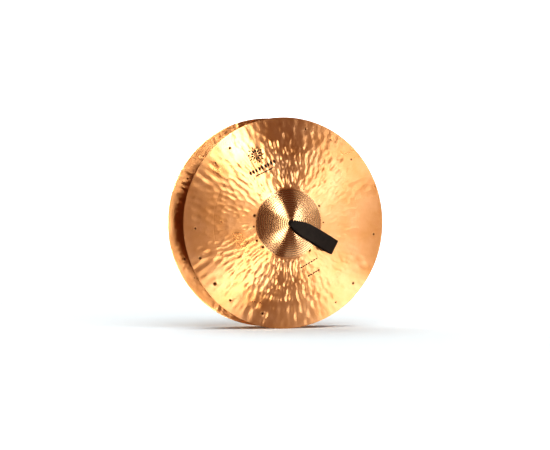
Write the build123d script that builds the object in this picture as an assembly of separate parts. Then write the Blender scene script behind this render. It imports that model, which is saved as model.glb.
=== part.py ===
"""A pair of hand cymbals, facing each other on one level axis, each with a one-piece leather strap.

Row frame, in millimetres: +Y is the shared axis, from the front cymbal to the rear one, and +Z is up.
The origin is on that axis, midway between the two rims. The front cymbal bulges towards -Y, and the
rear one is the same cymbal turned half a turn about Z.

A height here is a distance from a plate's rim plane, outwards along its own axis.
"""

import os
from math import cos, radians, sin, sqrt

from build123d import *

# The plate: an 18 inch bronze disc, thinner towards its edge.
PLATE_RADIUS = 228.6
EDGE_THICKNESS = 0.9
FOOT_THICKNESS = 1.3
BELL_THICKNESS = 1.6
BOW_HEIGHT = 30.0
PLATE_HEIGHT = 46.0
BELL_RADIUS = 74.0
BELL_FOOT_FILLET = 14.0
HOLE_RADIUS = 6.35

# The pair at rest, held apart with the rims parallel.
RIM_GAP = 112.0

# The leather: a wide band folded into a loop, with each end cut into two laces.
LEATHER = 2.6
BAND_WIDTH = 32.0
BAND_REACH = 117.0
STRAP_DROOP = 27.3
STRAP_CLEARANCE = 0.8
NECK_WIDTH = 10.0
SHOULDER_REACH = 14.0
SHOULDER_WIDTH = 24.4
FULL_WIDTH_REACH = 36.0

# Where the loop flexes as it lifts: a rounded root just above the hole.
ROOT_RADIUS = 4.3

# The loop's side: it lies on the bell, then runs straight down to the bow and folds back.
LEAVES_BELL = 38.0
FOLD_DEPTH = 16.0
ARCH_AT = 62.0
ARCH_HEIGHT = 59.5

# The lacing inside the bell.
LACE_COUNT = 4
LACE_WIDTH = 6.0
LACE_THICKNESS = 2.2
LACE_CLEARANCE = 0.4
LACE_GAP = 0.1
STEM_RADIUS = 6.1
STEM_TOP = PLATE_HEIGHT + 0.2
TAIL_REACH = 48.0
KNOT_SIDE = 25.0
KNOT_LOWEST = 33.0
KNOT_CORNER = 5.0
KNOT_EDGE = 2.5

WELL_CLEAR = 200.0


def cap(outer_radius, outer_height, inner_radius, inner_height):
    """Centre height and radius of the sphere on the axis through two rings of a plate."""
    centre = (outer_radius**2 + outer_height**2 - inner_radius**2 - inner_height**2) / (
        2 * (outer_height - inner_height)
    )
    return centre, sqrt(outer_radius**2 + (outer_height - centre) ** 2)


def height_on(sphere, radius):
    """Height of a sphere from cap() at that distance from the axis."""
    centre, size = sphere
    return centre + sqrt(size**2 - radius**2)


FOOT_HEIGHT_INSIDE = BOW_HEIGHT - FOOT_THICKNESS
HOLE_HEIGHT_INSIDE = PLATE_HEIGHT - BELL_THICKNESS
OUTER_BOW = cap(PLATE_RADIUS, EDGE_THICKNESS, BELL_RADIUS, BOW_HEIGHT)
INNER_BOW = cap(PLATE_RADIUS, 0.0, BELL_RADIUS, FOOT_HEIGHT_INSIDE)
OUTER_BELL = cap(BELL_RADIUS, BOW_HEIGHT, HOLE_RADIUS, PLATE_HEIGHT)
INNER_BELL = cap(BELL_RADIUS, FOOT_HEIGHT_INSIDE, HOLE_RADIUS, HOLE_HEIGHT_INSIDE)
FLEX_HEIGHT = height_on(OUTER_BELL, 0) + STRAP_CLEARANCE + ROOT_RADIUS


def at(radius, height):
    """A point of the plate's section, which is drawn in the XY plane of the front cymbal."""
    return (radius, -height)


def section_arc(sphere, start, end):
    """The part of a sphere's section between two distances from the axis."""
    middle = (start + end) / 2
    return ThreePointArc(*(at(r, height_on(sphere, r)) for r in (start, middle, end)))


def make_plate():
    """The bronze plate, with its rim plane at y = 0: a shallow bow, a domed bell and a central hole."""
    edge = Line(at(PLATE_RADIUS, 0), at(PLATE_RADIUS, EDGE_THICKNESS))
    hole = Line(at(HOLE_RADIUS, PLATE_HEIGHT), at(HOLE_RADIUS, HOLE_HEIGHT_INSIDE))
    outline = [
        edge,
        section_arc(OUTER_BOW, PLATE_RADIUS, BELL_RADIUS),
        section_arc(OUTER_BELL, BELL_RADIUS, HOLE_RADIUS),
        hole,
        section_arc(INNER_BELL, HOLE_RADIUS, BELL_RADIUS),
        section_arc(INNER_BOW, BELL_RADIUS, PLATE_RADIUS),
    ]
    section = make_face(outline)
    for height, radius in (
        (BOW_HEIGHT, BELL_FOOT_FILLET),
        (FOOT_HEIGHT_INSIDE, BELL_FOOT_FILLET + FOOT_THICKNESS),
    ):
        foot = section.vertices().sort_by_distance(at(BELL_RADIUS, height))[0]
        section = fillet(foot, radius)
    return revolve(section, Axis.Y)


def loop_side():
    """The loop seen from its side, x along the strap and y outwards, with y = 0 at the flex height."""
    centre, size = OUTER_BELL
    under_bell = (centre, size + STRAP_CLEARANCE)

    def low(x):
        return (x, height_on(under_bell, x) - FLEX_HEIGHT)

    slope = LEAVES_BELL / sqrt(under_bell[1] ** 2 - LEAVES_BELL**2)
    fold_radius = FOLD_DEPTH / 2
    fold_start = BAND_REACH - fold_radius
    fold_low = low(LEAVES_BELL)[1] - slope * (fold_start - LEAVES_BELL)
    outline = [
        ThreePointArc(low(0), low(LEAVES_BELL / 2), low(LEAVES_BELL)),
        Line(low(LEAVES_BELL), (fold_start, fold_low)),
        ThreePointArc(
            (fold_start, fold_low),
            (BAND_REACH, fold_low + fold_radius),
            (fold_start, fold_low + FOLD_DEPTH),
        ),
        ThreePointArc(
            (fold_start, fold_low + FOLD_DEPTH),
            (ARCH_AT, ARCH_HEIGHT - FLEX_HEIGHT),
            (0, ROOT_RADIUS),
        ),
        ThreePointArc((0, ROOT_RADIUS), (-ROOT_RADIUS, 0), (0, -ROOT_RADIUS)),
    ]
    outside = make_face(outline)
    return outside - offset(outside, -LEATHER)


def band_outline():
    """The band seen from above, x along the strap: a narrow neck that opens into a parallel band."""
    half_neck, half_shoulder, half_band = (w / 2 for w in (NECK_WIDTH, SHOULDER_WIDTH, BAND_WIDTH))
    end = BAND_REACH + 1
    sides = []
    for side in (1, -1):
        sides += [
            ThreePointArc(
                (-ROOT_RADIUS, side * half_neck),
                (SHOULDER_REACH, side * half_shoulder),
                (FULL_WIDTH_REACH, side * half_band),
            ),
            Line((FULL_WIDTH_REACH, side * half_band), (end, side * half_band)),
        ]
    closing = [
        Line((-ROOT_RADIUS, half_neck), (-ROOT_RADIUS, -half_neck)),
        Line((end, half_band), (end, -half_band)),
    ]
    return make_face(sides + closing)


def make_grip():
    """The wide band, folded into the loop that the hand goes through."""
    loop = extrude(loop_side(), BAND_WIDTH, both=True)
    outline = extrude(Plane.XZ * band_outline(), WELL_CLEAR, both=True)
    droop = radians(STRAP_DROOP)
    strap_plane = Plane(
        origin=(0, -FLEX_HEIGHT, 0),
        x_dir=(cos(droop), 0, -sin(droop)),
        z_dir=(-sin(droop), 0, -cos(droop)),
    )
    return strap_plane * (loop & outline)


def ball(size):
    """A sphere about the centre of the bell's inner curve."""
    return Pos(0, -INNER_BELL[0], 0) * Sphere(size)


LACES_OUTSIDE = INNER_BELL[1] - LACE_CLEARANCE
LACES_INSIDE = LACES_OUTSIDE - LACE_THICKNESS


def make_laces():
    """Four laces, which fill the hole as quarters of a round stem and spread along the bell's inside."""
    stem_low = STEM_TOP / 2
    stem = Pos(0, -(stem_low + STEM_TOP) / 2, 0) * Rot(90, 0, 0) * Cylinder(STEM_RADIUS, STEM_TOP - stem_low)
    side = STEM_RADIUS * 2
    quarter = Pos(LACE_GAP, 0, 0) * Rot(0, 45, 0) * Pos(side / 2, 0, side / 2)
    quarter = quarter * Box(side, WELL_CLEAR, side)
    start = LACE_WIDTH / 2 + LACE_GAP * 2
    strip = Pos((start + TAIL_REACH) / 2, -WELL_CLEAR / 2, 0)
    strip = strip * Box(TAIL_REACH - start, WELL_CLEAR, LACE_WIDTH)
    tail = strip & ball(LACES_OUTSIDE) - ball(LACES_INSIDE)
    lace = ((stem & quarter) - ball(LACES_INSIDE)) + tail
    turn = 360 / LACE_COUNT
    return [Rot(0, STRAP_DROOP + turn * (i + 0.5), 0) * lace for i in range(LACE_COUNT)]


def make_knot():
    """The knot that the laces are tied into, as one closed cushion under them."""
    block = Pos(0, -(KNOT_LOWEST + PLATE_HEIGHT) / 2, 0)
    block = block * Box(KNOT_SIDE, PLATE_HEIGHT - KNOT_LOWEST, KNOT_SIDE)
    block = fillet(block.edges().filter_by(Axis.Y), KNOT_CORNER)
    block = fillet(block.faces().sort_by(Axis.Y)[-1].edges(), KNOT_EDGE)
    knot = block & ball(LACES_INSIDE - LACE_GAP)
    return Rot(0, STRAP_DROOP + 180 / LACE_COUNT, 0) * knot


def make_cymbal():
    """One cymbal's sub-parts by name, with its rim plane at y = 0 and its bell towards -Y."""
    parts = {"plate": make_plate(), "strap_grip": make_grip(), "knot": make_knot()}
    for number, lace in enumerate(make_laces(), start=1):
        parts[f"lace_{number}"] = lace
    return parts


def main():
    os.makedirs("parts", exist_ok=True)
    front_place = Pos(0, -RIM_GAP / 2, 0)
    for side, turn in (("front", 0), ("rear", 180)):
        for name, shape in make_cymbal().items():
            placed = Rot(0, 0, turn) * front_place * shape
            export_step(placed, f"parts/{side}_{name}.step")


main()
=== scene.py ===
"""The look of a pair of hand cymbals: hammered and lathed bronze plates on laced leather straps.

Lengths are in millimetres here until a mesh is made, which is in metres. A height is a distance from
a plate's rim plane, outwards along its own axis, as in the CAD source. A side is -1 for the front
cymbal, whose bell points to -Y, and 1 for the rear one, which is the same turned half a turn about Z.
"""

from math import cos, pi, radians, sin, sqrt, tan

import bmesh
import bpy
import numpy as np
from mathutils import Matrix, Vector, noise


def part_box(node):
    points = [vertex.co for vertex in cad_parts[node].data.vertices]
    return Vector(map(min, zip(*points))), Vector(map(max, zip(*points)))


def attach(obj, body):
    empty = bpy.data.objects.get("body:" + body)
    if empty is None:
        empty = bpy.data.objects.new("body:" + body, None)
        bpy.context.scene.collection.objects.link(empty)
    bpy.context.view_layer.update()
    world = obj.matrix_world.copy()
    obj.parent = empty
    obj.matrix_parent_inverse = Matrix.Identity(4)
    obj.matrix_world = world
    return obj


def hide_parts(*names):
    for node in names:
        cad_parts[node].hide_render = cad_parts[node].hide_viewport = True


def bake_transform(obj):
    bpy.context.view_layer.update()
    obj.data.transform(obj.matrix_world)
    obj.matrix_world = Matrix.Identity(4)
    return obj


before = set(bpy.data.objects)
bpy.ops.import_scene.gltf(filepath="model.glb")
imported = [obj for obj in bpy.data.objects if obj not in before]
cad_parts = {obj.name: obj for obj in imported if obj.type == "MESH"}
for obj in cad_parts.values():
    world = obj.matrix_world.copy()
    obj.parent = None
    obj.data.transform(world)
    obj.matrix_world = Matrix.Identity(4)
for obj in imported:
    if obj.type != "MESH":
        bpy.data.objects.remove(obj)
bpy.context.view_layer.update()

MM = 0.001
# Name, side, and its hammering: a seed, the radius it is close together to, and the blows' depth.
SIDES = (("front", -1, (11, 166.0, 0.52)), ("rear", 1, (29, 214.0, 0.9)))

# The CAD plate's own section.
EDGE_THICKNESS = 0.9
FOOT_THICKNESS = 1.3
BELL_THICKNESS = 1.6
BOW_HEIGHT = 30.0
BELL_RADIUS = 74.0
HOLE_RADIUS = 6.35
FOOT_BLEND = 0.8

# The CAD strap.
STRAP_DROOP = radians(27.3)
LEATHER = 2.6
BAND_WIDTH = 32.0
BAND_REACH = 117.0
STRAP_CLEARANCE = 0.8
NECK_WIDTH = 10.0
SHOULDER_REACH = 14.0
SHOULDER_WIDTH = 24.4
FULL_WIDTH_REACH = 36.0
ROOT_RADIUS = 4.3
LEAVES_BELL = 38.0
FOLD_DEPTH = 16.0
ARCH_AT = 62.0
ARCH_HEIGHT = 59.5

# The CAD lacing.
LACE_COUNT = 4
LACE_WIDTH = 6.0
LACE_THICKNESS = 2.2
LACE_CLEARANCE = 0.4
STEM_RADIUS = 6.1
TAIL_REACH = 48.0
KNOT_SIDE = 25.0
KNOT_LOWEST = 33.0

low_corner, high_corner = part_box("front_plate")
PLATE_RADIUS = high_corner.x / MM
PLATE_HEIGHT = (high_corner.y - low_corner.y) / MM
RIM_PLANE = -high_corner.y / MM


def cap(outer_radius, outer_height, inner_radius, inner_height):
    """Centre height and radius of the sphere on the axis through two rings of a plate."""
    rise = 2 * (outer_height - inner_height)
    centre = (outer_radius**2 + outer_height**2 - inner_radius**2 - inner_height**2) / rise
    return centre, sqrt(outer_radius**2 + (outer_height - centre) ** 2)


def height_on(sphere, radius):
    """Height of a sphere from cap() at that distance from the axis."""
    centre, size = sphere
    return centre + np.sqrt(size**2 - np.asarray(radius, float) ** 2)


FOOT_INSIDE = BOW_HEIGHT - FOOT_THICKNESS
OUTER_BOW = cap(PLATE_RADIUS, EDGE_THICKNESS, BELL_RADIUS, BOW_HEIGHT)
INNER_BOW = cap(PLATE_RADIUS, 0.0, BELL_RADIUS, FOOT_INSIDE)
OUTER_BELL = cap(BELL_RADIUS, BOW_HEIGHT, HOLE_RADIUS, PLATE_HEIGHT)
INNER_BELL = cap(BELL_RADIUS, FOOT_INSIDE, HOLE_RADIUS, PLATE_HEIGHT - BELL_THICKNESS)
FLEX_HEIGHT = float(height_on(OUTER_BELL, 0)) + STRAP_CLEARANCE + ROOT_RADIUS


def placed(side, turn, along, across, height):
    """Points in the row frame from lengths along and across a direction that droops by turn."""
    along, across, height = np.broadcast_arrays(along, across, height)
    x = -side * (along * cos(turn) - across * sin(turn))
    z = -(along * sin(turn) + across * cos(turn))
    return np.stack([x, side * (RIM_PLANE + height), z], axis=-1)


def new_object(name, points, faces, material):
    """A smooth-shaded mesh object from points in millimetres in the row frame."""
    mesh = bpy.data.meshes.new(name)
    mesh.from_pydata((np.asarray(points) * MM).tolist(), [], faces)
    mesh.validate()
    made = bpy.data.objects.new(name, mesh)
    bpy.context.scene.collection.objects.link(made)
    mesh.materials.append(material)
    mesh.polygons.foreach_set("use_smooth", [True] * len(mesh.polygons))
    return made


def face_outwards(made):
    """Makes every face of a closed mesh point outwards."""
    work = bmesh.new()
    work.from_mesh(made.data)
    bmesh.ops.recalc_face_normals(work, faces=work.faces)
    work.to_mesh(made.data)
    work.free()


def rides(piece, body, node_name):
    """Puts a piece on a body in place of a CAD node."""
    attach(piece, body)
    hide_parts(node_name)


# ---- Plates ----

# Hammer marks: close rows round the bell, and larger, sparser ones further out.
HAMMER_FROM = 79.0
RIM_LEFT_CLEAR = 8
ROW_STEP = 10.5
ROW_WANDER = 2.0
MARK_STEP = 11.5
MARK_WANDER = 0.22
MARK_RADIUS = 7.0
MARK_SIZES = (0.75, 1.2)
BLOW_SHARES = (0.4, 1.25)
MARK_STRETCH = 1.55
OUTER_ROW_STEP = 15.0
OUTER_MARK_STEP = 17.0
OUTER_MARK_GROWTH = 1.25
OUTER_BLOW_SHARES = (0.3, 0.6, 1.1)
POINTS_AT_ONCE = 4096


def hammer_marks(seed, close_to, blow_depth):
    """Rows of hammer blows round the bow, as arrays of x, z, radius and depth."""
    rng = np.random.default_rng(seed)
    marks = []
    radius = HAMMER_FROM
    while radius < PLATE_RADIUS - RIM_LEFT_CLEAR:
        outer = radius > close_to
        step = OUTER_MARK_STEP if outer else MARK_STEP
        count = int(2 * pi * radius / step)
        angles = (np.arange(count) + rng.uniform(0, 1)) * 2 * pi / count
        angles = angles + rng.normal(0, MARK_WANDER, count) * step / radius
        reach = radius + rng.normal(0, ROW_WANDER, count)
        size = MARK_RADIUS * rng.uniform(*MARK_SIZES, count)
        depth = blow_depth * rng.uniform(*BLOW_SHARES, count)
        if outer:
            size = size * OUTER_MARK_GROWTH
            depth = depth * rng.choice(OUTER_BLOW_SHARES, count)
        marks.append(np.stack([reach * np.cos(angles), reach * np.sin(angles), size, depth]))
        radius += OUTER_ROW_STEP if outer else ROW_STEP
    return np.concatenate(marks, axis=1)


def dent_depth(x, z, marks):
    """How deep the overlapping hammer marks are at each point; each is an oval along its own radius."""
    reach = np.hypot(marks[0], marks[1])
    out_x, out_z = marks[0] / reach, marks[1] / reach
    deepest = np.zeros_like(x)
    for first in range(0, len(x), POINTS_AT_ONCE):
        some = slice(first, first + POINTS_AT_ONCE)
        out = (x[some, None] * out_x + z[some, None] * out_z - reach) / MARK_STRETCH
        away = out**2 + (z[some, None] * out_x - x[some, None] * out_z) ** 2
        share = np.clip(1 - away / marks[2] ** 2, 0, 1)
        deepest[some] = np.sqrt(((marks[3] * share**1.5) ** 2).sum(axis=1))
    return deepest


# Small deep punch marks near the rim and just outside the bell: degrees round the plate and size.
PUNCH_RADIUS = 3.3
PUNCH_DEPTH = 0.75
PUNCH_LIP = 0.06
PUNCH_LIP_AT = 1.2
PUNCH_LIP_WIDTH = 0.25
# Painted shade: the punch marks are darkened out to this share of their radius.
PUNCH_SHADE_TO = 1.25
PUNCH_WANDER = 2.2
RIM_PUNCHES = ((42, 0.7), (60, 0.6), (77, 0.9), (128, 1.0), (141, 0.5), (183, 0.8), (201, 1.1), (219, 1.25),
               (233, 0.8), (255, 1.2), (304, 0.6), (320, 1.0), (353, 0.8))
BELL_PUNCHES = ((1, 0.6), (28, 0.8), (64, 0.5), (103, 0.5), (168, 1.1), (185, 0.7), (207, 0.9), (221, 1.0),
                (309, 0.8), (336, 0.6))
RIM_PUNCHES_AT = 0.9
BELL_PUNCHES_AT = 0.35
REAR_PUNCH_TURN = 75
REFINED_TO = 1.5
REFINING_CUTS = 3


def punch_marks(turn, seed):
    """The punch marks, turned round the plate, as arrays of x, z and radius."""
    rng = np.random.default_rng(seed)
    places = []
    for share, punches in ((RIM_PUNCHES_AT, RIM_PUNCHES), (BELL_PUNCHES_AT, BELL_PUNCHES)):
        for angle, size in punches:
            reach = share * PLATE_RADIUS + rng.normal(0, PUNCH_WANDER)
            place = radians(angle + turn)
            places.append((reach * cos(place), reach * sin(place), size * PUNCH_RADIUS))
    return np.array(places).T


def punch_share(x, z, punches):
    """Each point's distance from the nearest punch mark's centre, as a share of that mark's radius."""
    away = np.full(len(x), np.inf)
    for place_x, place_z, radius in punches.T:
        away = np.minimum(away, np.hypot(x - place_x, z - place_z) / radius)
    return away


# Turned lines: fine rings on the bell, two round its foot and one on the bow.
GROOVE_PITCH = 4.6
GROOVE_DEPTH = 0.036
# Painted shade: how dark the bottoms of the bell's turned grooves are painted.
GROOVE_SHADE = 0.8
FOOT_LINES = (BELL_RADIUS + 1.2, BELL_RADIUS + 3.6)
FOOT_LINE_DEPTH = 0.12
FOOT_LINE_WIDTH = 0.5
BOW_LINE = 0.725 * PLATE_RADIUS
BOW_LINE_DEPTH = 0.10
BOW_LINE_WIDTH = 0.8


def groove_wave(reach):
    """1 at the bottom of each turned groove of the bell and 0 between them, faded out at the bell's ends."""
    fade = np.clip((BELL_RADIUS - 1 - reach) / 2, 0, 1) * np.clip((reach - HOLE_RADIUS - 2) / 3, 0, 1)
    return np.cos(pi * (reach - HOLE_RADIUS) / GROOVE_PITCH) ** 8 * fade


def turned_depth(reach):
    """How deep the turned lines are at each distance from the axis."""
    foot_lines = sum(np.exp(-(((reach - line) / FOOT_LINE_WIDTH) ** 2)) for line in FOOT_LINES)
    bow_line = np.exp(-(((reach - BOW_LINE) / BOW_LINE_WIDTH) ** 2))
    return GROOVE_DEPTH * groove_wave(reach) + FOOT_LINE_DEPTH * foot_lines + BOW_LINE_DEPTH * bow_line


def face_height(bow, bell, radius):
    """A plate face's height, with the bell's foot rounded."""
    radius = np.asarray(radius, float)
    size = bell[1]
    on_bell = bell[0] + np.sqrt(size**2 - np.minimum(radius, size * 0.9) ** 2)
    on_bow = height_on(bow, radius)
    return 0.5 * (on_bow + on_bell + np.sqrt((on_bell - on_bow) ** 2 + FOOT_BLEND**2))


def dents_at(x, z, marks):
    """Hammer dents, faded out at the bell's foot and at the rim."""
    reach = np.hypot(x, z)
    fade = np.clip((reach - HAMMER_FROM + 4) / 6, 0, 1) * np.clip((PLATE_RADIUS - reach) / 5, 0, 1)
    return dent_depth(x, z, marks) * fade


def rings(start, end, step):
    """Ring radii from start up to, but not counting, end."""
    return list(np.linspace(start, end, max(int(round(abs(end - start) / step)), 1), endpoint=False))


# The plate's mesh: points round each ring, and the steps between rings.
BELL_SEGMENTS = 256
BOW_SEGMENTS = 512
BELL_STEP = 0.45
FOOT_STEP = 0.4
BOW_STEP = 1.8
LINE_STEP = 0.5
EDGE_STEP = 0.6
UNDER_BOW_STEP = 2.4
UNDER_BELL_STEP = 2.0
RIM_ROUND = 0.25
HOLE_ROUND = 0.4


def polar_faces(counts):
    """Faces between neighbouring rings; a ring may have twice or half as many points as the one before."""
    faces = []
    start = 0
    for here, there in zip(counts, counts[1:]):
        after = start + here
        i = np.arange(min(here, there))
        if here == there:
            j = (i + 1) % here
            faces += np.stack([start + i, start + j, after + j, after + i], 1).tolist()
        elif there == 2 * here:
            j = (i + 1) % here
            a, b, c = after + 2 * i, after + 2 * i + 1, after + (2 * i + 2) % there
            faces += np.stack([start + i, b, a], 1).tolist()
            faces += np.stack([start + i, start + j, b], 1).tolist()
            faces += np.stack([start + j, c, b], 1).tolist()
        else:
            j = (i + 1) % there
            a, b, c = start + 2 * i, start + 2 * i + 1, start + (2 * i + 2) % here
            faces += np.stack([a, b, after + i], 1).tolist()
            faces += np.stack([b, after + j, after + i], 1).tolist()
            faces += np.stack([b, c, after + j], 1).tolist()
        start = after
    return faces


def plate_rings():
    """Radius, height and point count of each ring, out over the outer face and back under the inner one."""
    edge = PLATE_RADIUS - RIM_ROUND
    mouth = HOLE_RADIUS + HOLE_ROUND
    bell = rings(mouth, BELL_RADIUS - 2, BELL_STEP) + rings(BELL_RADIUS - 2, BELL_RADIUS + 5, FOOT_STEP)
    bow = rings(BELL_RADIUS + 5, BOW_LINE - 2, BOW_STEP) + rings(BOW_LINE - 2, BOW_LINE + 2, LINE_STEP)
    bow += rings(BOW_LINE + 2, PLATE_RADIUS - 2, BOW_STEP) + rings(PLATE_RADIUS - 2, edge, EDGE_STEP)
    under_bow = rings(edge, BELL_RADIUS + 4, UNDER_BOW_STEP)
    under_bell = rings(BELL_RADIUS + 4, mouth, UNDER_BELL_STEP) + [mouth]
    above = np.array(bell + bow + [edge])
    below = np.array(under_bow + under_bell)
    high = face_height(OUTER_BOW, OUTER_BELL, above) - turned_depth(above)
    low = face_height(INNER_BOW, INNER_BELL, below)
    radii = np.concatenate([[HOLE_RADIUS], above, [PLATE_RADIUS] * 2, below, [HOLE_RADIUS]])
    rim = [EDGE_THICKNESS - RIM_ROUND, RIM_ROUND]
    heights = np.concatenate([[high[0] - HOLE_ROUND], high, rim, low, [low[-1] + HOLE_ROUND]])
    on_bow = len(bow) + 1 + len(rim) + len(under_bow)
    counts = [BELL_SEGMENTS] * (len(bell) + 1) + [BOW_SEGMENTS] * on_bow
    counts += [BELL_SEGMENTS] * (len(under_bell) + 1)
    return radii, heights, counts


def refine(mesh, punches):
    """Splits the faces round the punch marks so that their shape can be pressed in."""
    centres = np.empty(len(mesh.polygons) * 3)
    mesh.polygons.foreach_get("center", centres)
    centres = centres.reshape(-1, 3) / MM
    near = np.flatnonzero(punch_share(centres[:, 0], centres[:, 2], punches) < REFINED_TO)
    work = bmesh.new()
    work.from_mesh(mesh)
    work.faces.ensure_lookup_table()
    edges = {edge for i in near for edge in work.faces[i].edges}
    bmesh.ops.subdivide_edges(work, edges=list(edges), cuts=REFINING_CUTS, use_grid_fill=True)
    work.to_mesh(mesh)
    work.free()


def press_punches(mesh, side, punches):
    """Presses the punch marks in, with a slight raised lip, and stores a mask of painted shade for the punch
    marks and the bell's turned grooves.
    """
    points = np.empty(len(mesh.vertices) * 3)
    mesh.vertices.foreach_get("co", points)
    points = points.reshape(-1, 3)
    share = punch_share(points[:, 0] / MM, points[:, 2] / MM, punches)
    lip = PUNCH_LIP * np.exp(-(((share - PUNCH_LIP_AT) / PUNCH_LIP_WIDTH) ** 2))
    depth = PUNCH_DEPTH * np.clip(1 - share**2, 0, 1) ** 1.2 - lip
    points[:, 1] -= side * depth * MM
    mesh.vertices.foreach_set("co", points.ravel())
    reach = np.hypot(points[:, 0], points[:, 2]) / MM
    # Painted shade: a mask that darkens the punch marks and the bell's turned grooves.
    dark = np.maximum(np.clip(PUNCH_SHADE_TO - share, 0, 1), GROOVE_SHADE * groove_wave(reach))
    mesh.attributes.new("painted_shade", "FLOAT", "POINT").data.foreach_set("value", dark.astype(np.float32))


def make_plate(side_name, side, hammering, material):
    """A plate: both faces, the rim and the hole, hammered, turned and punched."""
    marks = hammer_marks(*hammering)
    punches = punch_marks(0 if side < 0 else REAR_PUNCH_TURN, hammering[0])
    radii, heights, counts = plate_rings()
    angle = np.concatenate([np.arange(n) * 2 * pi / n for n in counts])
    reach = np.repeat(radii, counts)
    x, z = reach * np.cos(angle), reach * np.sin(angle)
    height = np.repeat(heights, counts) - dents_at(x, z, marks)
    points = np.stack([x, side * (RIM_PLANE + height), z], axis=1)
    faces = polar_faces(counts)
    last = len(points) - BELL_SEGMENTS
    i = np.arange(BELL_SEGMENTS)
    j = (i + 1) % BELL_SEGMENTS
    faces += np.stack([last + i, last + j, j, i], 1).tolist()
    if side > 0:
        faces = [face[::-1] for face in faces]
    made = new_object(f"{side_name}_cymbal_plate", points, faces, material)
    inside = (np.repeat(np.arange(len(counts)), counts) > np.argmax(radii)).astype(np.float32)
    made.data.attributes.new("inside", "FLOAT", "POINT").data.foreach_set("value", inside)
    refine(made.data, punches)
    press_punches(made.data, side, punches)
    made.data.polygons.foreach_set("use_smooth", [True] * len(made.data.polygons))
    rides(made, f"{side_name}_cymbal", f"{side_name}_plate")


# ---- Leather ----

PATH_STEP = 1.2
CREASE_FROM_EDGE = 1.2
CREASE_DEPTH = 0.16
SWELL = 0.12
SWELL_SCALE = 0.09


def ribbon_profile(half_width, half_thickness):
    """A strip's section as across and normal offsets, creased beside its rounded edges, and its edge mask."""
    round_edge = half_thickness * 0.85
    flat = half_width - round_edge
    inner = flat - CREASE_FROM_EDGE - 0.8
    half = [flat, flat - CREASE_FROM_EDGE + 0.5, flat - CREASE_FROM_EDGE, flat - CREASE_FROM_EDGE - 0.5]
    half += [inner, inner * 0.66, inner * 0.33]
    across = np.array(half + [0.0] + [-v for v in reversed(half)])
    crease = np.zeros_like(across)
    crease[[2, -3]] = CREASE_DEPTH
    turn = np.radians([-60, -30, 0, 30, 60])
    edge_across = flat + round_edge * np.cos(turn)
    edge_normal = half_thickness * np.sin(turn)
    v = np.concatenate([across[::-1], edge_across[::-1], across, -edge_across])
    n = np.concatenate([half_thickness - crease, edge_normal[::-1], crease - half_thickness, edge_normal])
    at_edge = np.abs(across) >= flat
    rounded = np.ones(len(turn), bool)
    worn = np.concatenate([at_edge, rounded, at_edge, rounded])
    return v, n, worn.astype(np.float32)


def smooth_path(points, step=PATH_STEP, passes=3):
    """A polyline resampled at even steps, with its corners softened."""
    points = np.asarray(points, float)
    run = np.concatenate([[0], np.cumsum(np.hypot(*np.diff(points, axis=0).T))])
    even = np.linspace(0, run[-1], int(run[-1] / step) + 1)
    points = np.stack([np.interp(even, run, points[:, 0]), np.interp(even, run, points[:, 1])], 1)
    for _ in range(passes):
        points[1:-1] = (points[:-2] + 2 * points[1:-1] + points[2:]) / 4
    return points


def loft(name, sections, material, cut=0.5):
    """A closed tube through sections with equal numbers of points, its cut ends slightly rounded."""
    sections = [np.asarray(section) for section in sections]

    def rounded(end, before):
        middle = end.mean(axis=0)
        out = middle - before.mean(axis=0)
        out = out / np.linalg.norm(out)
        arms = end - middle
        size = np.linalg.norm(arms, axis=1, keepdims=True)
        return [end + out * cut * k - arms / size * np.minimum(cut * m, size * 0.5)
                for k, m in ((0.7, 0.3), (1.0, 1.0))]

    first = rounded(sections[0], sections[1])[::-1]
    last = rounded(sections[-1], sections[-2])
    sections = first + sections + last
    count, around = len(sections), len(sections[0])
    i = np.arange(around)
    j = (i + 1) % around
    faces = []
    for here in range(0, (count - 1) * around, around):
        faces += np.stack([here + i, here + j, here + around + j, here + around + i], 1).tolist()
    points = np.concatenate(sections)
    for start in (0, (count - 1) * around):
        points = np.concatenate([points, [points[start:start + around].mean(axis=0)]])
        middle = np.full(around, len(points) - 1)
        faces += np.stack([start + i, start + j, middle], 1).tolist()
    made = new_object(name, points, faces, material)
    face_outwards(made)
    return made


def ribbon(name, side, turn, path, offset, half_width, half_thickness, material):
    """A leather strip along a path of (along, height) points, with its width across the path's plane."""
    tangent = np.gradient(path, axis=0)
    tangent /= np.linalg.norm(tangent, axis=1, keepdims=True)
    sections, worn = [], []
    for (along, height), (run, rise), wide in zip(path, tangent, half_width):
        v, n, edge = ribbon_profile(wide, half_thickness)
        points = placed(side, turn, along - rise * n, offset + v, height + run * n)
        swell = [SWELL * noise.noise(Vector(point * SWELL_SCALE)) for point in points]
        n = n * (1 + np.array(swell))
        sections.append(placed(side, turn, along - rise * n, offset + v, height + run * n))
        worn.append(edge)
    made = loft(name, sections, material)
    ends = 2 * len(worn[0])
    values = np.concatenate([np.ones(ends), *worn, np.ones(ends + 2)]).astype(np.float32)
    made.data.attributes.new("worn", "FLOAT", "POINT").data.foreach_set("value", values)
    return made


def arc_through(a, b, c, grow=0.0, count=60):
    """Points from a to c on the circle through a, b and c, its radius changed by grow."""
    a, b, c = (complex(*p) for p in (a, b, c))
    w = (c - a) / (b - a)
    centre = a + (b - a) * (w - abs(w) ** 2) / (2j * w.imag)
    start, turn = a - centre, np.angle((c - centre) / (a - centre))
    ray = start * np.exp(1j * np.linspace(0, turn, count))
    points = centre + ray * (1 + grow / abs(start))
    return np.stack([points.real, points.imag], 1)


def band_half_width(along):
    """Half the band's width: a narrow neck that opens into a parallel band."""
    curve = arc_through((-ROOT_RADIUS, NECK_WIDTH / 2), (SHOULDER_REACH, SHOULDER_WIDTH / 2),
                        (FULL_WIDTH_REACH, BAND_WIDTH / 2))
    return np.interp(along, curve[:, 0], curve[:, 1])


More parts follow.
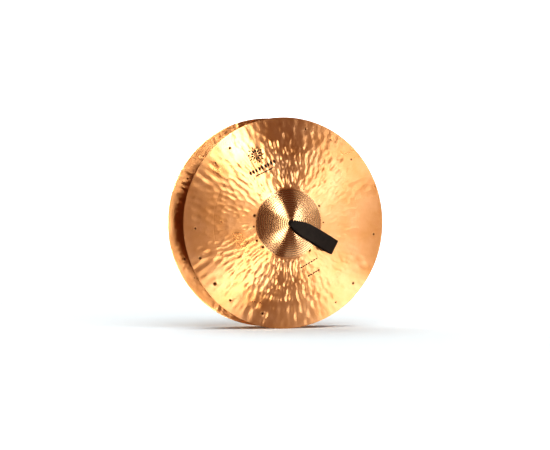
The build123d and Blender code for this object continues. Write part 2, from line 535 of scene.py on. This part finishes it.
def strap_path():
    """The loop's middle line, out of the hole, along the bell, round the fold and back over the arch."""
    half = LEATHER / 2
    centre = OUTER_BELL[0]
    size = OUTER_BELL[1] + STRAP_CLEARANCE
    leaves = centre + sqrt(size**2 - LEAVES_BELL**2)
    slope = LEAVES_BELL / sqrt(size**2 - LEAVES_BELL**2)
    fold = FOLD_DEPTH / 2
    fold_at = BAND_REACH - fold
    fold_low = leaves - slope * (fold_at - LEAVES_BELL)
    on_bell = np.linspace(8, LEAVES_BELL, 20)
    lying = np.stack([on_bell, centre + np.sqrt((size + half) ** 2 - on_bell**2)], 1)
    turn = np.linspace(-pi / 2, pi / 2, 24)
    fold_bend = fold - half
    folded = np.stack([fold_at + fold_bend * np.cos(turn), fold_low + fold + fold_bend * np.sin(turn)], 1)
    top = (0, FLEX_HEIGHT + ROOT_RADIUS)
    arch = arc_through((fold_at, fold_low + FOLD_DEPTH), (ARCH_AT, ARCH_HEIGHT), top, -half)
    back = np.linspace(pi / 2, pi, 8)
    root_bend = ROOT_RADIUS - half
    root = np.stack([root_bend * np.cos(back), FLEX_HEIGHT + root_bend * np.sin(back)], 1)
    mouth = PLATE_HEIGHT + 0.9
    start = [(1.6, mouth), (1.8, mouth + 0.8), (3.2, mouth + 1.35), (5.4, mouth + 1.4)]
    end = [(-2.5, FLEX_HEIGHT - 2), (-1.7, mouth + 1), (-1.6, mouth)]
    return smooth_path(np.concatenate([start, lying, folded, arch[1:-1], root, end]))


ROOT_HALF_WIDTH = 4.3
ROOT_LENGTH = 6


def make_strap(side_name, side, material):
    """The band, folded into the loop that the hand goes through."""
    path = strap_path()
    run = np.concatenate([[0], np.cumsum(np.hypot(*np.diff(path, axis=0).T))])
    from_end = np.minimum(run, run[-1] - run)
    neck = np.clip(from_end / ROOT_LENGTH, 0, 1)
    opening = neck * neck * (3 - 2 * neck)
    width = ROOT_HALF_WIDTH + (band_half_width(path[:, 0]) - ROOT_HALF_WIDTH) * opening
    made = ribbon(f"{side_name}_strap_loop", side, STRAP_DROOP, path, 0.0, width, LEATHER / 2, material)
    start = placed(side, STRAP_DROOP, 2, 0, PLATE_HEIGHT) * MM
    end = placed(side, STRAP_DROOP, 9, 0, PLATE_HEIGHT + 6) * MM
    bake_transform(made)
    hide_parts(f"{side_name}_strap_grip")


STEM_MIDDLE = 3.3
STEM_TOP = PLATE_HEIGHT + 0.15
STEM_GAP = 0.15
QUARTER_GAP = 0.1
LACE_BEND = 2.6
LACE_STEP = 1.4
LACE_SEED = 100
LACE_SWAY = 0.5
LACE_SWAY_TURN = 5
LACE_TWIST = 0.06
LACE_NARROWING = 0.12


def make_lace(side_name, side, number, material):
    """A lace: a quarter of the round stem in the hole, which turns out along the bell's inside."""
    lace_turn = STRAP_DROOP + radians((number - 0.5) * 360 / LACE_COUNT)
    spread = np.sin(np.linspace(-pi / 2, pi / 2, 13))
    half_width, half = LACE_WIDTH / 2, LACE_THICKNESS / 2
    quarter = STEM_RADIUS / sqrt(2) - QUARTER_GAP
    stem_top = np.sqrt(STEM_RADIUS**2 - (spread * quarter) ** 2) - STEM_MIDDLE
    stem_low = np.minimum(np.abs(spread * quarter) + STEM_GAP, stem_top + STEM_MIDDLE) - STEM_MIDDLE
    strip = half * np.clip(1 - np.abs(spread) ** 8, 0, 1) ** 0.5
    shell = INNER_BELL[1] - LACE_CLEARANCE - half
    bend_at = STEM_MIDDLE + LACE_BEND
    bend_height = INNER_BELL[0] + sqrt(shell**2 - bend_at**2) + LACE_BEND
    stops = [(STEM_MIDDLE, STEM_TOP, 0.0)]
    for angle in np.linspace(0, pi / 2, 8):
        stops.append((bend_at - LACE_BEND * cos(angle), bend_height - LACE_BEND * sin(angle), angle))
    for reach in np.arange(bend_at + 1.2, TAIL_REACH - 0.6, LACE_STEP):
        stops.append((reach, INNER_BELL[0] + sqrt(shell**2 - reach**2), pi / 2 + reach / shell))
    rng = np.random.default_rng(LACE_SEED + number)
    sway = rng.uniform(-LACE_SWAY, LACE_SWAY)
    twist = rng.uniform(-LACE_TWIST, LACE_TWIST)
    sections = []
    for along, height, angle in stops:
        share = min(angle / (pi / 2), 1)
        out = max(along - bend_at, 0) / (TAIL_REACH - bend_at)
        v = spread * (quarter + (half_width * (1 - LACE_NARROWING * out) - quarter) * share)
        top = stem_top + (strip - stem_top) * share + v * twist * out
        low = stem_low + (-strip - stem_low) * share + v * twist * out
        v = np.concatenate([v, v[-2:0:-1]]) + sway * sin(out * LACE_SWAY_TURN)
        n = np.concatenate([top, low[-2:0:-1]])
        sections.append(placed(side, lace_turn, along + cos(angle) * n, v, height + sin(angle) * n))
    made = loft(f"{side_name}_lace_strip_{number}", sections, material, 0.25)
    rides(made, f"{side_name}_lacing", f"{side_name}_lace_{number}")


KNOT_LEATHER = 2.4
STRAND_MIDDLE = 6.2
STRAND_HALF_WIDTH = 5.7
KNOT_TOP = 40.6
CUSHION_POINTS = 32
CUSHION_SQUARENESS = 5


def make_knot(side_name, side, material):
    """A square crown knot: four strands, each over one neighbour and under the next, on a cushion."""
    knot_turn = STRAP_DROOP + pi / 4
    half = KNOT_LEATHER / 2
    edge = KNOT_SIDE / 2 - half
    over = KNOT_LOWEST + half
    under = over + KNOT_LEATHER + 0.2
    strand = [(-edge, KNOT_TOP), (-edge, over + 1.8), (-edge + 0.6, over + 0.5), (-edge + 2, over)]
    strand += [(-2.6, over), (-1.6, over + 0.5), (-0.6, under - 0.5), (0.4, under), (edge - 2, under + 0.1)]
    strand += [(edge - 0.5, under + 0.7), (edge, under + 2), (edge, KNOT_TOP)]
    path = smooth_path(strand, 0.6, 4)
    width = np.full(len(path), STRAND_HALF_WIDTH)
    pieces = []
    for number in range(LACE_COUNT):
        name = f"{side_name}_knot_strand_{number + 1}"
        turn = knot_turn + number * pi / 2
        pieces.append(ribbon(name, side, turn, path, STRAND_MIDDLE, width, half, material))
    angle = np.arange(CUSHION_POINTS) * 2 * pi / CUSHION_POINTS
    corners = np.abs(np.cos(angle)) ** CUSHION_SQUARENESS + np.abs(np.sin(angle)) ** CUSHION_SQUARENESS
    square = corners ** (-1 / CUSHION_SQUARENESS)
    across, along = square * np.cos(angle), square * np.sin(angle)
    layers = ((under + 1.3, 8.8), (under + 1.6, 9.8), (under + 2.2, 10.0), (KNOT_TOP - 0.3, 10.0))
    sections = [placed(side, knot_turn, size * across, size * along, height) for height, size in layers]
    pieces.append(loft(f"{side_name}_knot_cushion", sections, material))
    for piece in pieces:
        rides(piece, f"{side_name}_lacing", f"{side_name}_knot")


# ---- Printed marks, placed by lengths along a line of print and out from the plate's axis ----

INK_PROUD = 0.13
INK_SUNK = 0.2
MARK_LINE = radians(115.5)
ROSETTE_AT = 163.0
PETALS = 10
PETAL_AT = 8.6
BEAD_AT = 16.4
LOZENGES_AT = 133.0
LOZENGE_STEP = 7.4
RULE_AT = 122.5
SMALL_MARK_LINE = radians(-61)
SMALL_RULES = ((98.5, 7), (123.3, 5))
DASH_STEP = 6.6
DASH_GAP = 1.8


def oval(length, width):
    """A pointed oval as a grid of points, its length along the first axis."""
    t = np.linspace(-1, 1, 11)[:, None]
    return t * length / 2 + np.zeros(4), (1 - 0.96 * t**2) * np.linspace(-0.5, 0.5, 4) * width


def ring_grid(radius, width):
    """A ring as a grid of points that closes on itself."""
    angle = np.linspace(0, 2 * pi, 49)[:, None]
    reach = radius + np.linspace(-0.5, 0.5, 3) * width
    return reach * np.cos(angle), reach * np.sin(angle)


def bar(length, width):
    """A plain rule as a grid of points, its length along the first axis."""
    t = np.linspace(-0.5, 0.5, int(length / 1.5))[:, None]
    return t * length + np.zeros(3), np.linspace(-0.5, 0.5, 3) * width + np.zeros_like(t)


def moved(grid, turn, along, out):
    """A grid turned, then moved along the mark's line of writing and out from the plate's axis."""
    a, b = grid
    return a * cos(turn) - b * sin(turn) + along, a * sin(turn) + b * cos(turn) + out


def printed_grids():
    """A rosette over a row of lozenges and a rule, and two dashed rules on the other side of the bell."""
    marks = []
    for k in range(PETALS):
        turn = k * 2 * pi / PETALS
        marks.append(moved(oval(8.5, 4.2), turn, PETAL_AT * cos(turn), ROSETTE_AT + PETAL_AT * sin(turn)))
        turn += pi / PETALS
        marks.append(moved(oval(4.8, 3.0), turn, BEAD_AT * cos(turn), ROSETTE_AT + BEAD_AT * sin(turn)))
    marks.append(moved(ring_grid(3.0, 1.3), 0, 0, ROSETTE_AT))
    marks.append(moved(ring_grid(13.6, 0.9), 0, 0, ROSETTE_AT))
    marks += [moved(oval(10.0, 5.4), pi / 2, k * LOZENGE_STEP, LOZENGES_AT) for k in range(-4, 5)]
    marks.append(moved(bar(44, 2.0), 0, 0, RULE_AT))
    grids = [(grid, MARK_LINE) for grid in marks]
    for out, dashes in SMALL_RULES:
        for k in range(dashes):
            along = (k - (dashes - 1) / 2) * DASH_STEP
            grids.append((moved(bar(DASH_STEP - DASH_GAP, 2.3), 0, along, out), SMALL_MARK_LINE))
    return grids


def make_print(side_name, side, hammering, material):
    """The printed marks, as thin closed films that follow the hammered face."""
    marks = hammer_marks(*hammering)
    points, faces = [], []
    for (along, out), line in printed_grids():
        rows, columns = along.shape
        x = -side * (out * np.cos(line) - along * np.sin(line)).ravel()
        z = (out * np.sin(line) + along * np.cos(line)).ravel()
        reach = np.hypot(x, z)
        height = face_height(OUTER_BOW, OUTER_BELL, reach) - turned_depth(reach)
        height = height - dents_at(x, z, marks)
        start, sheet = sum(len(p) for p in points), rows * columns
        for rise in (INK_PROUD, -INK_SUNK):
            points.append(np.stack([x, side * (RIM_PLANE + height + rise), z], 1))
        cell = (np.arange(rows - 1)[:, None] * columns + np.arange(columns - 1)).ravel() + start
        quad = np.stack([cell, cell + 1, cell + columns + 1, cell + columns], 1)
        faces += quad.tolist() + (quad[:, ::-1] + sheet).tolist()
        grid = np.arange(sheet).reshape(rows, columns) + start
        rim = np.concatenate([grid[0], grid[1:, -1], grid[-1, -2::-1], grid[-2:0:-1, 0]])
        after = np.roll(rim, -1)
        faces += np.stack([rim, after, after + sheet, rim + sheet], 1).tolist()
    made = new_object(f"{side_name}_printed_marks", np.concatenate(points), faces, material)
    face_outwards(made)
    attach(made, f"{side_name}_cymbal")


# ---- Materials ----

BRONZE_DEEP = (0.78, 0.43, 0.19)
BRONZE_PALE = (0.90, 0.57, 0.32)
BRONZE_BELL = (0.80, 0.54, 0.32)
BRONZE_BROWN = (0.50, 0.22, 0.07)
# Painted shade: the inner faces, which face each other across the gap, are pulled towards this darker brown.
INSIDE_PAINTED_SHADE = (0.52, 0.27, 0.11)
# Painted shade: the dark brown painted into the punch marks and turned grooves.
PAINTED_SHADE_BROWN = (0.10, 0.04, 0.015)
BELL_ROUGHNESS = 0.185
BOW_ROUGHNESS = 0.29
INSIDE_ROUGHER = 0.05

LEATHER_DEEP = (0.015, 0.011, 0.010)
LEATHER_PALE = (0.030, 0.022, 0.018)
LEATHER_SCUFFED = (0.07, 0.052, 0.042)
INK_THICK = (0.022, 0.013, 0.009)
INK_THIN = (0.11, 0.055, 0.025)
WHITE = (1, 1, 1)


def new_material(name):
    """An empty node material: its node tree and Principled BSDF."""
    material = bpy.data.materials.new(name)
    material.use_nodes = True
    tree = material.node_tree
    tree.nodes.clear()
    output = tree.nodes.new("ShaderNodeOutputMaterial")
    shader = tree.nodes.new("ShaderNodeBsdfPrincipled")
    tree.links.new(shader.outputs["BSDF"], output.inputs["Surface"])
    return material, tree, shader


def set_inputs(shader, **values):
    """Sets a shader's inputs by name."""
    for name, value in values.items():
        shader.inputs[name.replace("_", " ")].default_value = value


def maths(tree, operation, a, b=None, clamp=False):
    """A math node's output from links or numbers."""
    made = tree.nodes.new("ShaderNodeMath")
    made.operation = operation
    made.use_clamp = clamp
    for socket, value in zip(made.inputs, (a, b)):
        if isinstance(value, (int, float)):
            socket.default_value = value
        elif value is not None:
            tree.links.new(value, socket)
    return made.outputs[0]


def plus(tree, a, b):
    """The sum of two links or numbers."""
    return maths(tree, "ADD", a, b)


def times(tree, a, b, clamp=False):
    """The product of two links or numbers."""
    return maths(tree, "MULTIPLY", a, b, clamp)


def past(tree, value, start):
    """How far a value is past a start, and 0 before it."""
    return maths(tree, "SUBTRACT", value, start, True)


def ramp(tree, factor, *stops):
    """A colour ramp's output from (position, colour) stops."""
    made = tree.nodes.new("ShaderNodeValToRGB")
    elements = made.color_ramp.elements
    while len(elements) < len(stops):
        elements.new(0.5)
    for element, (position, colour) in zip(elements, stops):
        element.position = position
        element.color = (*colour, 1)
    tree.links.new(factor, made.inputs["Fac"])
    return made.outputs["Color"]


def mix(tree, factor, a, b):
    """A colour between a and b."""
    made = tree.nodes.new("ShaderNodeMix")
    made.data_type = "RGBA"
    for name, value in (("Factor_Float", factor), ("A_Color", a), ("B_Color", b)):
        socket = next(s for s in made.inputs if s.identifier == name)
        if isinstance(value, tuple):
            socket.default_value = (*value, 1)
        else:
            tree.links.new(value, socket)
    return next(s for s in made.outputs if s.identifier == "Result_Color")


def object_place(tree):
    """The point's place on its own object."""
    return tree.nodes.new("ShaderNodeTexCoord").outputs["Object"]


def noise_texture(tree, vector, scale, detail=3.0, roughness=0.55):
    """A noise texture's factor."""
    made = tree.nodes.new("ShaderNodeTexNoise")
    set_inputs(made, Scale=scale, Detail=detail, Roughness=roughness)
    tree.links.new(vector, made.inputs["Vector"])
    return made.outputs["Fac"]


def stored(tree, name):
    """A mesh attribute's value."""
    made = tree.nodes.new("ShaderNodeAttribute")
    made.attribute_name = name
    return made.outputs["Fac"]


def bump(tree, height, strength, distance):
    """A bump node's normal."""
    made = tree.nodes.new("ShaderNodeBump")
    set_inputs(made, Strength=strength, Distance=distance)
    tree.links.new(height, made.inputs["Height"])
    return made.outputs["Normal"]


def bronze_material():
    """Lathed cast bronze: turning lines round the axis, warm uneven colour, and painted shade in the punch
    marks, in the turned grooves and over the inner face.
    """
    material, tree, shader = new_material("bronze")
    link = tree.links.new
    place = object_place(tree)
    split = tree.nodes.new("ShaderNodeSeparateXYZ")
    link(place, split.inputs[0])
    x, _, z = split.outputs
    reach = maths(tree, "SQRT", plus(tree, times(tree, x, x), times(tree, z, z)))
    along_reach = tree.nodes.new("ShaderNodeCombineXYZ")
    link(reach, along_reach.inputs[0])
    turning = noise_texture(tree, along_reach.outputs[0], 900, 3, 0.7)
    bands = noise_texture(tree, along_reach.outputs[0], 120, 2, 0.5)
    blotches = noise_texture(tree, place, 16, 4)
    freckles = noise_texture(tree, place, 260, 2)
    on_bow = times(tree, past(tree, reach, (BELL_RADIUS - 1) * MM), 500.0, True)
    # Painted shade in the punch marks and turned grooves, read from the plate's mask; it also roughens them.
    painted_shade = times(tree, stored(tree, "painted_shade"), 1.1, True)
    inside = stored(tree, "inside")

    tint = ramp(tree, blotches, (0.32, BRONZE_DEEP), (0.68, BRONZE_PALE))
    tint = mix(tree, times(tree, bands, 0.18), tint, BRONZE_DEEP)
    tint = mix(tree, times(tree, past(tree, freckles, 0.66), 1.2, True), tint, BRONZE_BROWN)
    tint = mix(tree, on_bow, BRONZE_BELL, tint)
    # Painted shade: the inner face's colour is darkened towards a deeper brown.
    tint = mix(tree, times(tree, inside, 0.7), tint, INSIDE_PAINTED_SHADE)
    link(mix(tree, painted_shade, tint, PAINTED_SHADE_BROWN), shader.inputs["Base Color"])

    rough = plus(tree, times(tree, on_bow, BOW_ROUGHNESS - BELL_ROUGHNESS), BELL_ROUGHNESS)
    rough = plus(tree, rough, times(tree, maths(tree, "SUBTRACT", blotches, 0.5), 0.10))
    rough = plus(tree, rough, times(tree, painted_shade, 0.2))
    rough = plus(tree, rough, times(tree, inside, INSIDE_ROUGHER))
    link(rough, shader.inputs["Roughness"])

    set_inputs(shader, Metallic=1.0, Anisotropic=0.97, Anisotropic_Rotation=0.25)
    tangent = tree.nodes.new("ShaderNodeTangent")
    tangent.direction_type = "RADIAL"
    tangent.axis = "Y"
    link(tangent.outputs[0], shader.inputs["Tangent"])
    link(bump(tree, turning, 0.15, 0.0002), shader.inputs["Normal"])
    return material


def leather_material():
    """Black dyed leather: fine grain, a soft sheen, and paler worn edges."""
    material, tree, shader = new_material("black_leather")
    link = tree.links.new
    place = object_place(tree)
    grain = tree.nodes.new("ShaderNodeTexVoronoi")
    set_inputs(grain, Scale=1150.0)
    link(place, grain.inputs["Vector"])
    pores = noise_texture(tree, place, 2400, 2)
    patches = noise_texture(tree, place, 55, 3)
    scuffs = past(tree, noise_texture(tree, place, 300, 4), 0.35)
    worn = stored(tree, "worn")

    tint = ramp(tree, patches, (0.3, LEATHER_DEEP), (0.75, LEATHER_PALE))
    tint = mix(tree, times(tree, times(tree, worn, scuffs), 1.6, True), tint, LEATHER_SCUFFED)
    link(tint, shader.inputs["Base Color"])
    rough = plus(tree, times(tree, patches, 0.22), 0.36)
    link(plus(tree, rough, times(tree, worn, 0.12)), shader.inputs["Roughness"])
    set_inputs(shader, Specular_IOR_Level=0.25, Specular_Tint=(1.0, 0.95, 0.9, 1))
    set_inputs(shader, Coat_Weight=0.03, Coat_Roughness=0.28)
    height = plus(tree, grain.outputs["Distance"], times(tree, pores, 0.35))
    link(bump(tree, height, 0.35, 0.0003), shader.inputs["Normal"])
    return material


def ink_material():
    """Brown-black printing ink, thinner in places."""
    material, tree, shader = new_material("printing_ink")
    cover = noise_texture(tree, object_place(tree), 420, 3)
    tree.links.new(ramp(tree, cover, (0.45, INK_THICK), (0.75, INK_THIN)), shader.inputs["Base Color"])
    tree.links.new(plus(tree, times(tree, cover, 0.3), 0.4), shader.inputs["Roughness"])
    tree.links.new(bump(tree, cover, 0.2, 0.0001), shader.inputs["Normal"])
    set_inputs(shader, Specular_IOR_Level=0.3)
    return material


# ---- The pair ----


def make_pair():
    """Both cymbals, each with its printed marks, strap, knot and laces."""
    bronze = bronze_material()
    leather = leather_material()
    ink = ink_material()
    for side_name, side, hammering in SIDES:
        make_plate(side_name, side, hammering, bronze)
        make_print(side_name, side, hammering, ink)
        make_strap(side_name, side, leather)
        make_knot(side_name, side, leather)
        for number in range(1, LACE_COUNT + 1):
            make_lace(side_name, side, number, leather)


# ---- Camera: to the left of the axis and almost level, through a long lens ----

CAMERA_AZIMUTH = -19.4
CAMERA_ELEVATION = 1.0
CAMERA_DISTANCE = 6.0
CAMERA_LENS = 179.9
CAMERA_TO_RIGHT = -0.00104
CAMERA_UP = -0.0052


def direction(azimuth, elevation):
    """The way to something seen from the pair's centre; azimuth 0 is -Y, in degrees, and 90 is +X."""
    a, e = radians(azimuth), radians(elevation)
    return Vector((sin(a) * cos(e), -cos(a) * cos(e), sin(e)))


def add_object(name, data):
    """A new object in the scene."""
    made = bpy.data.objects.new(name, data)
    bpy.context.scene.collection.objects.link(made)
    return made


def make_camera():
    """The camera, aimed almost at the pair's centre."""
    back = direction(CAMERA_AZIMUTH, CAMERA_ELEVATION)
    right = direction(CAMERA_AZIMUTH + 90, 0)
    data = bpy.data.cameras.new("camera")
    data.lens = CAMERA_LENS
    data.sensor_width = 36
    data.clip_end = 100
    made = add_object("camera", data)
    made.location = back * CAMERA_DISTANCE + right * CAMERA_TO_RIGHT + back.cross(right) * CAMERA_UP
    made.rotation_mode = "QUATERNION"
    made.rotation_quaternion = back.to_track_quat("Z", "Y")
    bpy.context.scene.camera = made


# ---- Studio: a pale floor, a white surround that only the camera sees, and softboxes ----

FLOOR_SIZE = 1400
FLOOR_GLOW = 0.02
FLOOR_DEEP = (0.76, 0.83, 0.875)
FLOOR_PALE = (0.78, 0.85, 0.895)
SURROUND_RADIUS = 14.0
SURROUND_GLOW = 1.3
ROOM_COLOUR = (1, 0.46, 0.27, 1)
ROOM_BRIGHTNESS = 0.15


def make_floor():
    """A matt floor at the rims' lowest point, left out of the bronze's reflections."""
    material, tree, shader = new_material("floor_white")
    paper = noise_texture(tree, object_place(tree), 300)
    tree.links.new(ramp(tree, paper, (0.3, FLOOR_DEEP), (0.7, FLOOR_PALE)), shader.inputs["Base Color"])
    set_inputs(shader, Roughness=0.9, Specular_IOR_Level=0.0)
    set_inputs(shader, Emission_Color=(*WHITE, 1), Emission_Strength=FLOOR_GLOW)
    square = ((-1, -1), (1, -1), (1, 1), (-1, 1))
    corners = [(a * FLOOR_SIZE, b * FLOOR_SIZE, -PLATE_RADIUS) for a, b in square]
    floor = new_object("floor", corners, [(0, 1, 2, 3)], material)
    floor.visible_glossy = False
    floor.visible_shadow = False


def make_surround():
    """A glowing white sphere round everything, which only the camera sees."""
    material, _, shader = new_material("surround_white")
    set_inputs(shader, Base_Color=(0, 0, 0, 1), Emission_Color=(*WHITE, 1), Emission_Strength=SURROUND_GLOW)
    mesh = bpy.data.meshes.new("surround")
    work = bmesh.new()
    bmesh.ops.create_icosphere(work, subdivisions=4, radius=SURROUND_RADIUS)
    work.to_mesh(mesh)
    work.free()
    mesh.materials.append(material)
    surround = add_object("surround", mesh)
    for ray in ("diffuse", "glossy", "transmission", "volume_scatter", "shadow"):
        setattr(surround, f"visible_{ray}", False)


def make_world():
    """A dim warm room for the bronze to mirror, and the view's contrast."""
    world = bpy.data.worlds.new("studio")
    world.use_nodes = True
    set_inputs(world.node_tree.nodes["Background"], Color=ROOM_COLOUR, Strength=ROOM_BRIGHTNESS)
    world.cycles_visibility.diffuse = False
    bpy.context.scene.world = world
    bpy.context.scene.view_settings.view_transform = "Standard"
    bpy.context.scene.view_settings.look = "High Contrast"


SOFTBOX_DISTANCE = 2.2
WARM = (1, 0.93, 0.82)

# Name, azimuth, elevation, the angles covered across and up, in degrees, brightness and colour.
SOFTBOXES = (
    ("hot_right", 29, 8, 5, 16, 7.0, WHITE),
    ("strip_right", 29, -10, 6, 18, 4.5, WHITE),
    ("wide_right", 55, 0, 40, 100, 0.42, WARM),
    ("key_low_right", 57, -32, 20, 26, 1.65, WHITE),
    ("low_right", 33, -46, 22, 20, 0.6, WHITE),
    ("high_right", 72, 26, 24, 22, 0.85, WHITE),
    ("key_upper_left", -36, 58, 34, 14, 13.0, WHITE),
    ("wide_lower_left", -28, -46, 36, 20, 0.9, WHITE),
    ("front_low", 3, -18, 12, 12, 5.2, WARM),
    ("front_middle", 9, -2, 8, 18, 3.4, WARM),
    ("front_high", 3, 19, 12, 16, 6.0, WARM),
    ("side_left", -110, 16, 34, 70, 0.5, WHITE),
    ("back_left", -158, 16, 34, 70, 1.9, WHITE),
    ("back_right", 150, 16, 34, 70, 1.9, WHITE),
    ("side_right", 110, 16, 34, 70, 0.5, WHITE),
)

# Narrow softboxes that light only the rear plate, past the front one's rim.
REAR_SOFTBOXES = (
    ("rear_strip_low", -12, -14, 5, 6, 135.0, WHITE),
    ("rear_strip_middle", -12, 0, 5, 6, 135.0, WHITE),
    ("rear_strip_high", -12, 14, 5, 6, 135.0, WHITE),
    ("rear_upper", -3, 30, 8, 26, 24.0, WHITE),
    ("rear_lower", -3, -30, 8, 26, 26.0, WHITE),
)

# Broad suns that gloss doesn't see: name, tilt from straight down in degrees, and brightness.
SUNS = (("overhead_front", 42, 2.26), ("overhead_back", -42, 1.67))
SUN_SPREAD = 70
SUN_COLOUR = (0.97, 0.935, 0.905)


def softbox(name, azimuth, elevation, across, tall, brightness, colour):
    """An area light aimed at the pair's centre, which only gloss sees."""
    data = bpy.data.lights.new(name, "AREA")
    data.shape = "RECTANGLE"
    data.size = 2 * SOFTBOX_DISTANCE * tan(radians(across / 2))
    data.size_y = 2 * SOFTBOX_DISTANCE * tan(radians(tall / 2))
    data.energy = pi * data.size * data.size_y * brightness
    data.color = colour
    made = add_object(name, data)
    out = direction(azimuth, elevation)
    made.location = out * SOFTBOX_DISTANCE
    made.rotation_mode = "QUATERNION"
    made.rotation_quaternion = out.to_track_quat("Z", "Y")
    made.visible_camera = False
    made.visible_diffuse = False
    return made


def make_lights():
    """The softboxes that the bronze mirrors, and the suns that make the floor's shadow."""
    for values in SOFTBOXES:
        softbox(*values)
    lit = bpy.data.collections.new("lit_by_rear_strips")
    lit.objects.link(bpy.data.objects["rear_cymbal_plate"])
    for values in REAR_SOFTBOXES:
        softbox(*values).light_linking.receiver_collection = lit
    for name, tilt, brightness in SUNS:
        data = bpy.data.lights.new(name, "SUN")
        data.angle = radians(SUN_SPREAD)
        data.energy = brightness
        data.color = SUN_COLOUR
        sun = add_object(name, data)
        sun.visible_glossy = False
        sun.rotation_euler = (radians(tilt), 0, 0)


make_pair()
make_camera()
make_floor()
make_surround()
make_world()
make_lights()
